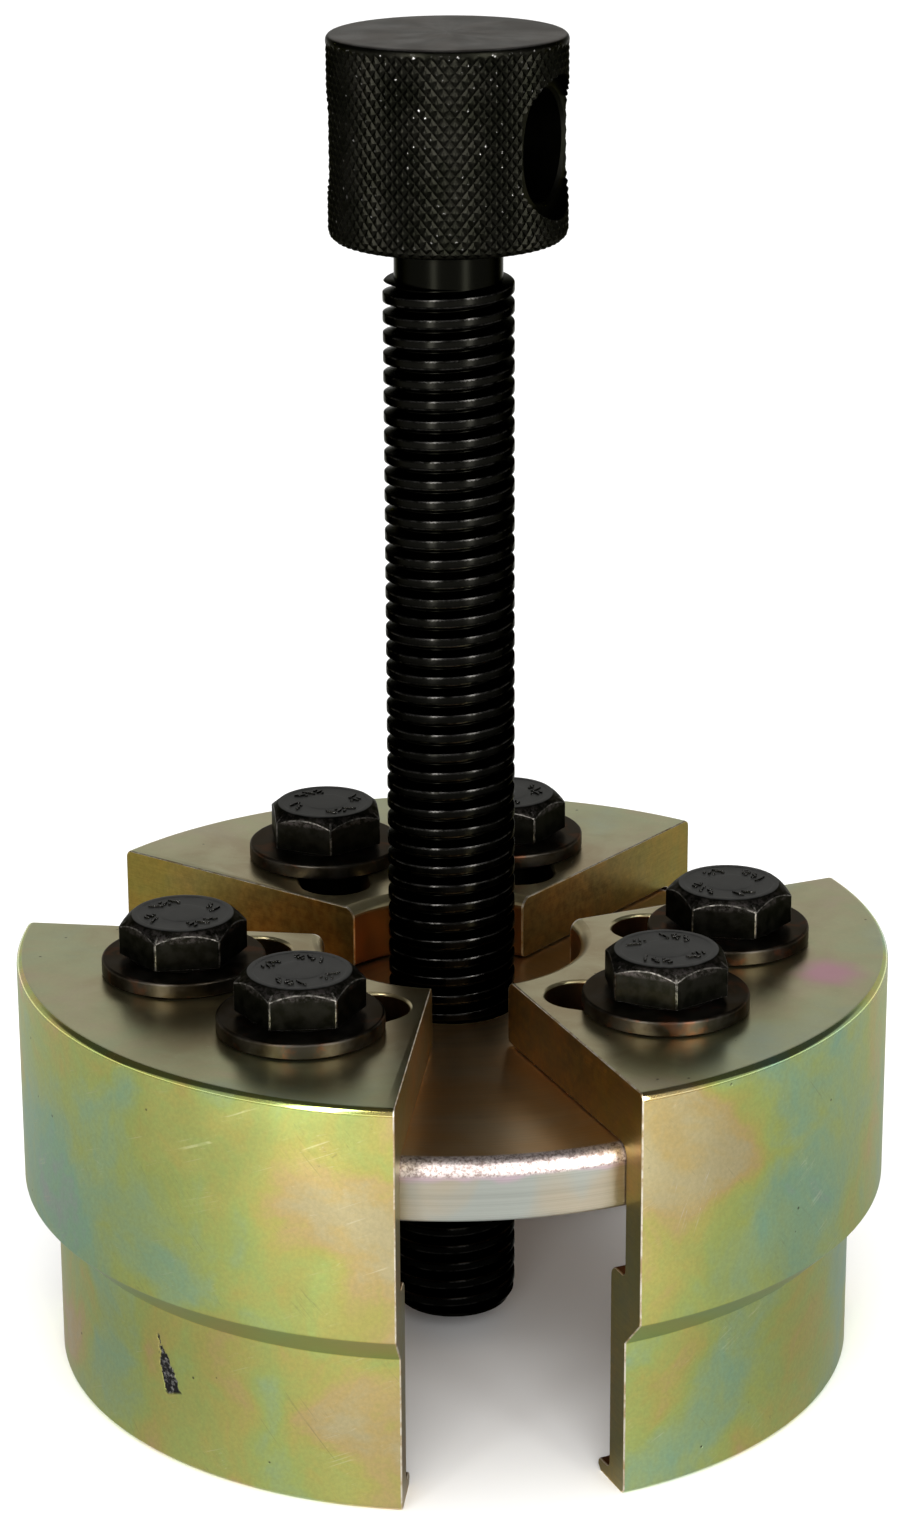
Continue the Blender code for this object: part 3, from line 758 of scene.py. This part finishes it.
def jaw_tool():
    """The slots and the arc round the screw, with their rounded edges."""
    parts = []
    below = FLANGE_BOTTOM - 1
    above = JAW_TOP + 1
    for side in (-1, 1):
        levels = [(below, SLOT_W), (JAW_TOP - 0.55, SLOT_W), (JAW_TOP - 0.42, SLOT_W + 0.03)]
        levels += [(JAW_TOP - 0.2, SLOT_W + 0.17), (JAW_TOP, SLOT_W + 0.4), (above, SLOT_W + 1.5)]
        rings = [(z, stadium(SLOT_INNER, SLOT_OUTER, w, 20)) for z, w in levels]
        parts.append(loft([[(x, y + side * BOLT_ACROSS, z) for x, y in ring] for z, ring in rings]))
    low = []
    for k in range(5):
        t = radians(262 - 82 * k / 4)
        low.append((ARC_R + 0.8 + 0.8 * cos(t), FLANGE_BOTTOM + 0.8 + 0.8 * sin(t)))
    high = []
    for k in range(9):
        t = radians(180 - 84 * k / 8)
        high.append((ARC_R + 2 + 2 * cos(t), JAW_TOP - 2 + 2 * sin(t)))
    profile = [(low[0][0], below), *low, *high, (high[-1][0], above)]
    parts.append(revolve(profile, 180, closed=False))
    return join_parts(parts)


def zone(obj):
    """Give each face its finish by where it is and how it faces, in the jaw's own frame."""
    for face in obj.data.polygons:
        c = face.center / MM
        n = face.normal
        x = c.x - JAW_SHIFT
        r = hypot(x, c.y)
        outward = (n.x * x + n.y * c.y) / r
        side = abs(-n.x * c.y + n.y * x) / r
        from_cut = r * sin(HALF_ANGLE - abs(atan2(c.y, x)))
        if from_cut < 0.3:
            index = CUT if side > 0.97 else EDGE
        elif n.z > 0.97 and c.z > JAW_TOP - 0.6:
            index = TOP
        elif outward > 0.45 and r > 58:
            index = OUTER
        elif c.z > JAW_TOP - 1.2 and n.z > 0.3:
            index = TOP if r < 60 else OUTER
        else:
            index = INNER
        face.material_index = index


def make_jaws():
    finishes = [zinc_outer(), zinc_top(), zinc_cut(), zinc_inner(), zinc_edge()]
    for index in range(JAWS):
        name = f"jaw_{index + 1}"
        points, faces = sector(jaw_outline(), HALF_ANGLE, 72)
        points = [(x + JAW_SHIFT, y, z) for x, y, z in points]
        jaw = solid(name + "_shell", points, faces)
        cut(jaw, solid("tool", *jaw_tool()), 32, *finishes, crossing=True)
        zone(jaw)
        place(jaw, turn=TURN * index / JAWS)
        weigh(jaw)
        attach(jaw, name)
        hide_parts(name)


# -------- bridge disc
def bolt_places():
    places = []
    for index in range(JAWS):
        a = TURN * index / JAWS
        for side in (1, -1):
            x = BOLT_ALONG * cos(a) - side * BOLT_ACROSS * sin(a)
            y = BOLT_ALONG * sin(a) + side * BOLT_ACROSS * cos(a)
            places.append((x, y, a))
    return places


def make_disc():
    corners = [(DISC_BORE_R, DISC_LOW, 0.3), (DISC_R, DISC_LOW, 0.5)]
    corners += [(DISC_R, DISC_TOP, 2.2), (DISC_BORE_R, DISC_TOP, 0.4)]
    disc = solid("bridge_disc_turned", *revolve(rounded(corners, 4), 180))
    parts = []
    hole = [(5.55, DISC_LOW - 1), (5.55, DISC_LOW), (5.15, DISC_LOW + 0.4), (5.15, DISC_TOP + 1)]
    points, faces = revolve(hole, 48, closed=False)
    for x, y, _ in bolt_places():
        parts.append(([(px + x, py + y, pz) for px, py, pz in points], faces))
    cut(disc, solid("tool", *join_parts(parts)), 32, disc_finish())
    weigh(disc)
    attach(disc, "bridge")
    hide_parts("bridge_disc")


# -------- bolts and washers
def hexagon_reach(angle, power=90):
    """The head's radius at an angle: a hexagon whose corners the power rounds a little."""
    total = sum(max(cos(angle - pi / 6 - pi / 3 * k), 0.0) ** power for k in range(6))
    return HALF_FLATS / total ** (1 / power)


def head_height(r):
    """The height of the head's chamfer, a cone outside its flat face."""
    return HEAD_H - max(0.0, r - HEAD_FACE_R) * tan(CHAMFER)


def bolt_rows(reach):
    """One (radius, height) section of the bolt, from its tip to the middle of its head."""
    rows = [(3.8, BOLT_TIP), (4.0, BOLT_TIP), (4.85, BOLT_TIP + 0.85), (5.0, BOLT_TIP + 1.1)]
    rows += [(5.0, -0.3), (5.15, 0.0), (8.0, 0.0), (8.15, 0.06), (8.2, 0.2), (8.2, 0.42), (8.23, 0.5)]
    rows += [(reach - 0.16, 0.5), (reach - 0.04, 0.55), (reach, 0.68)]
    top = head_height(reach)
    middle = HEAD_FACE_R + (reach - HEAD_FACE_R - 0.09) * 0.5
    rows += [(reach, 0.68 + (top - 0.88) * 0.5), (reach, top - 0.13), (reach - 0.02, top - 0.05)]
    rows += [(reach - 0.09, head_height(reach - 0.09) - 0.004), (middle, head_height(middle))]
    rows += [(7.82, head_height(7.82) - 0.01), (HEAD_FACE_R, HEAD_H - 0.025), (7.55, HEAD_H), (7.1, HEAD_H)]
    rows += [(6.95, 6.585), (6.8, 6.54), (6.65, 6.52), (3.9, 6.52), (3.7, 6.535), (3.5, 6.57)]
    rows += [(3.3, 6.585), (1.2, 6.585)]
    return rows


def make_bolt(index, x, y, finish, rubbed):
    name = f"clamp_bolt_{index + 1}"
    sections = [bolt_rows(hexagon_reach(TURN * j / BOLT_STEPS)) for j in range(BOLT_STEPS)]
    bolt = solid(name + "_body", *spin(sections, closed=False), finish, rubbed, smooth=34)
    for face in bolt.data.polygons:
        c = face.center / MM
        r = hypot(c.x, c.y)
        degrees = np.degrees(atan2(c.y, c.x)) % 60
        corner = min(degrees, 60 - degrees) < 1.0 and 0.7 < c.z < 6.0 and r > 9
        chamfer = abs(c.z - head_height(r) + 0.07) < 0.075 and abs(face.normal.z) < 0.72
        face.material_index = int(corner or (chamfer and c.z > 4 and r > 8.4))
    turn = radians(HEAD_TURNS[index])
    place(bolt, x, y, BOLT_Z, turn)
    weigh(bolt)
    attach(bolt, name)
    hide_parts(name)
    marks = solid(name + "_marks", *join_parts(mark_parts(index)), finish, smooth=34)
    place(marks, x, y, BOLT_Z, turn)
    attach(marks, name)


def pill(cx, cy, along, length, width, low, high):
    """A raised mark with rounded ends and sloping sides."""
    c, s = cos(along), sin(along)
    rings = []
    for z, w in ((low, width), (high - 0.04, width * 0.86), (high, width * 0.62)):
        flat = stadium(-length / 2, length / 2, w / 2, 6)
        rings.append([(cx + c * u - s * v, cy + s * u + c * v, z) for u, v in flat])
    return loft(rings)


# The marks of one group: radius, angle ahead, length, width and top.
MARKS = ((5.0, 0.0, 1.0, 0.42, 6.78), (5.65, 0.10, 0.55, 0.42, 6.76), (4.35, -0.08, 0.10, 0.48, 6.74))


def mark_parts(index):
    """Raised slanted ticks and dots in groups round the top, which spell nothing."""
    parts = []
    for group, count in enumerate((3, 2, 3, 2)):
        for k in range(count):
            a = 0.9 * index + 0.4 + group * 1.55 + 0.34 * k
            lean = a + (0.6, 1.2, 2.3)[(k + group + index) % 3]
            for r, ahead, length, width, high in MARKS:
                parts.append(pill(r * cos(a + ahead), r * sin(a + ahead), lean, length, width, 6.45, high))
    return parts


def make_washers_and_bolts():
    bolt_finish = black_bolt()
    rubbed = bolt_edge()
    washer_finish = black_washer()
    for index, (x, y, angle) in enumerate(bolt_places()):
        make_bolt(index, x, y, bolt_finish, rubbed)
        name = f"washer_{index + 1}"
        corners = [(WASHER_BORE_R, 0.0, 0.15), (WASHER_R, 0.0, 0.25)]
        corners += [(WASHER_R, WASHER_T, 0.45), (WASHER_BORE_R, WASHER_T, 0.15)]
        washer = solid(name + "_ring", *revolve(rounded(corners), 120), washer_finish)
        place(washer, x, y, WASHER_Z, angle)
        weigh(washer)
        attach(washer, name)
        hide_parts(name)


# -------- forcing screw
# One turn of the thread: the share of the pitch and the radius.
THREAD_FORM = ((-0.255, 9.50), (-0.242, 9.70), (-0.215, 9.785), (-0.10, 9.80), (0.10, 9.80),
               (0.215, 9.785), (0.242, 9.70), (0.255, 9.50), (0.448, 8.16), (0.472, 8.03),
               (0.5, 8.0), (0.528, 8.03), (0.552, 8.16))
THREAD_STEPS = 96


def end_limit(z):
    """Largest radius at a height, for the bevels at the thread's ends."""
    low = 9.2 + (z - SCREW_END) / 1.6
    high = 9.8 - (z - (THREAD_TOP - 0.4))
    return min(9.8, low, high)


def close_end(bm, height, chain):
    """Close the flat section at one end of the thread, running inwards along a chain of (radius, height)."""
    loop = [e for e in bm.edges if e.is_boundary and all(abs(v.co.z - height) < 1e-4 for v in e.verts)]
    verts = sorted({v for e in loop for v in e.verts}, key=lambda v: atan2(v.co.y, v.co.x))
    before = verts
    for r, z in chain:
        if r == 0:
            tip = bm.verts.new((0, 0, z))
            for i in range(len(before)):
                bm.faces.new((before[i], before[(i + 1) % len(before)], tip))
            return
        ring = []
        for v in verts:
            a = atan2(v.co.y, v.co.x)
            ring.append(bm.verts.new((r * cos(a), r * sin(a), z)))
        for i in range(len(ring)):
            k = (i + 1) % len(ring)
            bm.faces.new((before[i], before[k], ring[k], ring[i]))
        before = ring


def make_thread(finish):
    first = THREAD_START - PITCH
    while first > SCREW_END - 2 * PITCH:
        first -= PITCH
    turns = int((THREAD_TOP - first) / PITCH) + 3
    columns = []
    bm = bmesh.new()
    for j in range(THREAD_STEPS):
        a = TURN * j / THREAD_STEPS
        column = []
        for turn in range(turns):
            for offset, radius in THREAD_FORM:
                z = first + PITCH * (turn + offset + j / THREAD_STEPS)
                r = min(radius, max(end_limit(z), 7.0))
                column.append(bm.verts.new((r * cos(a), r * sin(a), z)))
        columns.append(column)
    form = len(THREAD_FORM)
    columns.append(columns[0][form:])
    for here, there in zip(columns, columns[1:]):
        for i in range(min(len(here), len(there)) - 1):
            bm.faces.new((here[i], there[i], there[i + 1], here[i + 1]))
    for height, up in ((SCREW_END, False), (THREAD_TOP, True)):
        bmesh.ops.bisect_plane(bm, geom=bm.verts[:] + bm.edges[:] + bm.faces[:], plane_co=(0, 0, height),
                               plane_no=(0, 0, 1), clear_outer=up, clear_inner=not up, dist=1e-5)
    socket = [(5.0, SCREW_END), (4.6, SCREW_END + 0.4), (4.6, 8.4), (5.4, 8.4), (5.4, 9.8), (4.6, 9.8)]
    socket += [(4.6, 20.6), (0, 23.4)]
    close_end(bm, SCREW_END, socket)
    close_end(bm, THREAD_TOP, [(0, THREAD_TOP)])
    bmesh.ops.recalc_face_normals(bm, faces=bm.faces)
    for v in bm.verts:
        v.co *= MM
    mesh = bpy.data.meshes.new("forcing_screw_thread")
    bm.to_mesh(mesh)
    bm.free()
    thread = new_object("forcing_screw_thread", mesh)
    set_own(thread)
    mesh.materials.append(finish)
    shade(mesh, 50)
    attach(thread, "screw")
    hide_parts("forcing_screw")


KNURL_DIAMONDS = 64
KNURL_DEPTH = 0.34
KNURL_STRETCH = 1.19
GROOVE = (1.0, 0.70, 0.40, 0.15, 0.0, 0.15, 0.40, 0.70)
KNURL_COLUMNS = KNURL_DIAMONDS * len(GROOVE)


def head_rows():
    """(radius, height, normal radius part, normal height part, knurl share) from the neck to the top."""
    rows = [(NECK_R - 0.4, THREAD_TOP - 0.4, 0, -1, 0.0), (NECK_R, THREAD_TOP - 0.3, 1, 0, 0.0)]
    rows += [(NECK_R, 172.0, 1, 0, 0.0), (NECK_R, 174.0, 1, 0, 0.0), (NECK_R, HEAD_LOW - 0.5, 1, 0, 0.0)]
    rows += [(NECK_R + 0.15, HEAD_LOW - 0.15, 0.7, -0.7, 0.0), (NECK_R + 0.5, HEAD_LOW, 0, -1, 0.0)]
    rows += [(12.0, HEAD_LOW, 0, -1, 0.0), (15.6, HEAD_LOW, 0, -1, 0.0)]
    step = TURN * HEAD_R / KNURL_COLUMNS * KNURL_STRETCH
    low_round = 1.8
    bend = pi / 2 * low_round
    side = HEAD_TOP - 0.9 - (HEAD_LOW + low_round)
    number = int((bend + side) / step)
    step = (bend + side) / number
    knurl_start = len(rows)
    for k in range(number + 1):
        s = k * step
        if s < bend:
            t = s / low_round
            r = HEAD_R - low_round + low_round * sin(t)
            row = (r, HEAD_LOW + low_round - low_round * cos(t), sin(t), -cos(t))
        else:
            row = (HEAD_R, HEAD_LOW + low_round + s - bend, 1.0, 0.0)
        fade = min(1.0, s / 1.4) * min(1.0, (bend + side - s) / 0.7)
        rows.append((*row, fade))
    knurl_end = len(rows) - 1
    for k in range(1, 7):
        t = pi / 2 * k / 6
        rows.append((HEAD_R - 0.9 + 0.9 * cos(t), HEAD_TOP - 0.9 + 0.9 * sin(t), cos(t), sin(t), 0.0))
    rows += [(r, HEAD_TOP, 0, 1, 0.0) for r in (16.2, 13.0, 9.0, 5.0, 1.5)]
    return rows, knurl_start, knurl_end


def make_head(finish):
    rows, low, high = head_rows()
    count = KNURL_COLUMNS
    period = len(GROOVE)
    points = []
    for i, (r, z, nr, nz, share) in enumerate(rows):
        for j in range(count):
            a = TURN * j / count
            depth = 0.0
            if share > 0:
                depth = KNURL_DEPTH * share * max(GROOVE[(i + j) % period], GROOVE[(i - j) % period])
            rr = r - depth * nr
            points.append((rr * cos(a), rr * sin(a), z - depth * nz))
    faces = []
    for i in range(len(rows) - 1):
        for j in range(count):
            k = (j + 1) % count
            a, b, c, d = i * count + j, i * count + k, (i + 1) * count + k, (i + 1) * count + j
            if not low <= i < high:
                faces.append((a, b, c, d))
            elif GROOVE[(i + j + 1) % period] < GROOVE[(i - j) % period]:
                faces += [(a, b, c), (a, c, d)]
            else:
                faces += [(a, b, d), (b, c, d)]
    base = len(points)
    points += [(0, 0, rows[0][1]), (0, 0, HEAD_TOP)]
    last = (len(rows) - 1) * count
    for j in range(count):
        k = (j + 1) % count
        faces.append((base, k, j))
        faces.append((base + 1, last + j, last + k))
    head = solid("forcing_screw_head", points, faces)
    reach = HEAD_R + 1
    bevel = 0.45
    # The cross hole with a flat spot face at each end, drawn upright and then laid over.
    profile = [(SPOT_R, -reach), (SPOT_R, -SPOT_X), (HOLE_R + bevel, -SPOT_X), (HOLE_R, -SPOT_X + bevel)]
    profile += [(HOLE_R, SPOT_X - bevel), (HOLE_R + bevel, SPOT_X), (SPOT_R, SPOT_X), (SPOT_R, reach)]
    tool = solid("tool", *revolve(profile, 96, closed=False))
    tool.data.transform(Matrix.Translation((0, 0, HOLE_Z * MM)) @ Matrix.Rotation(pi / 2, 4, "Y"))
    cut(head, tool, 28, finish)
    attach(head, "screw")


def make_point(finish):
    outline = [(0.6, 1.55), (1.2, 1.85), (1.8, 2.4), (3.4, 2.98), (5.4, 3.75), (7.2, 4.45), (8.3, 4.88)]
    outline += [(8.68, 5.06), (8.8, 5.24), (8.8, 5.45), (8.68, 5.6), (4.6, 5.6), (4.3, 5.75), (4.3, 8.5)]
    outline += [(3.4, 8.5), (3.4, 9.7), (4.3, 9.7), (4.3, 11.7), (4.0, 12.0)]
    point = solid("live_point_turned", *revolve(outline, 96, closed=False), finish)
    weigh(point)
    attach(point, "point")
    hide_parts("live_point")


def make_screw():
    finish = black_screw()
    make_thread(finish)
    make_head(black_knurl())
    make_point(finish)
    steel = bearing_finish()
    for name in ("point_ring", "thrust_ball"):
        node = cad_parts[name]
        node.data.materials.clear()
        node.data.materials.append(steel)


# -------- studio
FLOOR = 60000
CAMERA_AZIMUTH = -68.29
CAMERA_PLACE = (0.2157, -0.5409, 0.2928)
CAMERA_ANGLES = (71.201, 0.259, 21.622)
CAMERA_LENS = 94.42
LIGHTS_AIM = Vector((0.0, 0.0, 0.08))
# How bright the floor card is in front, beside and under the object.
FRONT_LEVEL = 0.84
SIDE_LEVEL = 0.50
UNDER_LEVEL = 0.20
# The card's rings: radius and share of the level there, 0 under the object.
CARD_RINGS = ((0, 0), (50, 0), (64, 0.80), (90, 0.80), (130, 0.9), (200, 1.0), (420, 1.0))
CARD_FADE = radians(75)
CARD_Z = 0.4
STRIP_AWAY = 415
STRIP_HALF = 38
# The world's brightness, in degrees from the horizon behind, over the top, to the one in front.
WORLD = ((0, 0.53), (27, 0.53), (38, 0.07), (114, 0.06), (124, 0.40), (160, 0.55), (180, 0.55))


def make_floor():
    f = Finish("floor_paper", metallic=0.0, Roughness=0.9, Specular_IOR_Level=0.1)
    material = f.done(f.mix(f.noise(f.place, 0.004, 2.0), (0.91, 0.91, 0.90), (0.93, 0.93, 0.92)))
    points = [(-FLOOR, -FLOOR, 0), (FLOOR, -FLOOR, 0), (FLOOR, FLOOR, 0), (-FLOOR, FLOOR, 0)]
    floor = mesh_object("floor", points, [(0, 1, 2, 3)])
    floor.data.materials.append(material)


def area_light(name, azimuth, elevation, distance, width, height, power):
    """A soft box. Azimuth is counted from the camera's side, positive to the right."""
    a = radians(CAMERA_AZIMUTH + azimuth)
    e = radians(elevation)
    where = LIGHTS_AIM + Vector((cos(a) * cos(e), sin(a) * cos(e), sin(e))) * distance
    data = bpy.data.lights.new(name, "AREA")
    data.shape = "RECTANGLE"
    data.size = width
    data.size_y = height
    data.energy = power
    obj = new_object(name, data)
    obj.location = where
    obj.rotation_euler = (LIGHTS_AIM - where).to_track_quat("-Z", "Y").to_euler()
    return obj


def glow_card(name, points, faces, levels):
    """A card that only gloss sees, with a brightness for each point."""
    card = mesh_object(name, points, faces)
    stored = card.data.color_attributes.new("level", "FLOAT_COLOR", "POINT")
    stored.data.foreach_set("color", np.asarray([(v, v, v, 1.0) for v in levels], np.float32).ravel())
    material = bpy.data.materials.new(name)
    material.use_nodes = True
    nodes = Nodes(material.node_tree)
    nodes.tree.nodes.clear()
    read = nodes.make("ShaderNodeAttribute")
    read.attribute_name = "level"
    glow = nodes.make("ShaderNodeEmission", read.outputs["Color"])
    nodes.make("ShaderNodeOutputMaterial", glow.outputs[0])
    card.data.materials.append(material)
    for kind in ("camera", "diffuse", "transmission", "shadow"):
        setattr(card, "visible_" + kind, False)


def make_floor_card():
    """Tones the floor down where the walls mirror it: dark under the object, dim beside it."""
    steps = 72
    points = []
    levels = []
    for r, share in CARD_RINGS:
        for j in range(steps):
            a = TURN * j / steps
            away = abs((a - radians(CAMERA_AZIMUTH) + pi) % TURN - pi)
            side = min(1.0, away / CARD_FADE)
            side = side * side * (3 - 2 * side)
            points.append(((r + 0.01) * cos(a), (r + 0.01) * sin(a), CARD_Z))
            levels.append(share * (FRONT_LEVEL + (SIDE_LEVEL - FRONT_LEVEL) * side) or UNDER_LEVEL)
    faces = []
    for i in range(len(CARD_RINGS) - 1):
        for j in range(steps):
            k = (j + 1) % steps
            faces.append((i * steps + j, (i + 1) * steps + j, (i + 1) * steps + k, i * steps + k))
    glow_card("floor_card", points, faces, levels)


def make_strips():
    """Two tall strips in front, left and right, which draw the bands of light down the screw."""
    for side, azimuth in (("left", -31), ("right", 36)):
        a = radians(CAMERA_AZIMUTH + azimuth)
        points = []
        levels = []
        for z, level in ((0.5, 12.0), (150, 18.0), (560, 18.0)):
            for across in (-STRIP_HALF, STRIP_HALF):
                x = STRIP_AWAY * cos(a) - across * sin(a)
                y = STRIP_AWAY * sin(a) + across * cos(a)
                points.append((x, y, z))
                levels.append(level)
        glow_card("strip_" + side, points, [(0, 1, 3, 2), (2, 3, 5, 4)], levels)


def make_world():
    """Dim behind, dark overhead, lighter in front: the tops mirror one and their rounded edges the others."""
    world = bpy.data.worlds.new("studio")
    bpy.context.scene.world = world
    world.use_nodes = True
    nodes = Nodes(world.node_tree)
    way = nodes.make("ShaderNodeTexCoord").outputs["Generated"]
    a = radians(CAMERA_AZIMUTH)
    back = nodes.vector("DOT_PRODUCT", way, (-cos(a), -sin(a), 0))
    lean = nodes.math("ARCTAN2", nodes.parts(way)[2], back)
    stops = [(degrees / 180, (level, level, level)) for degrees, level in WORLD]
    colour = nodes.ramp(nodes.math("DIVIDE", lean, pi), stops)
    nodes.put(nodes.tree.nodes["Background"].inputs[0], colour)


def make_camera():
    camera = bpy.data.cameras.new("camera")
    camera.sensor_fit = "VERTICAL"
    camera.sensor_height = 36.0
    camera.lens = CAMERA_LENS
    camera.clip_start = 0.01
    camera.clip_end = 20.0
    holder = new_object("camera", camera)
    holder.location = CAMERA_PLACE
    holder.rotation_euler = [radians(a) for a in CAMERA_ANGLES]
    bpy.context.scene.camera = holder
    bpy.context.scene.view_settings.view_transform = "Standard"
    bpy.context.scene.view_settings.look = "None"


def make_studio():
    make_floor()
    make_world()
    area_light("key_left", -32, 34, 1.3, 0.18, 0.42, 2.0)
    area_light("key_right", 34, 34, 1.3, 0.18, 0.42, 2.0)
    # Two lights that whiten the floor, and that gloss doesn't see.
    wash = bpy.data.lights.new("floor_wash", "SUN")
    wash.energy = 3.0
    wash.angle = radians(100)
    new_object("floor_wash", wash).visible_glossy = False
    area_light("floor_fill", 0, 28, 2.0, 1.5, 1.0, 30.0).visible_glossy = False
    make_floor_card()
    make_strips()
    make_camera()


make_jaws()
make_disc()
make_washers_and_bolts()
make_screw()
make_studio()
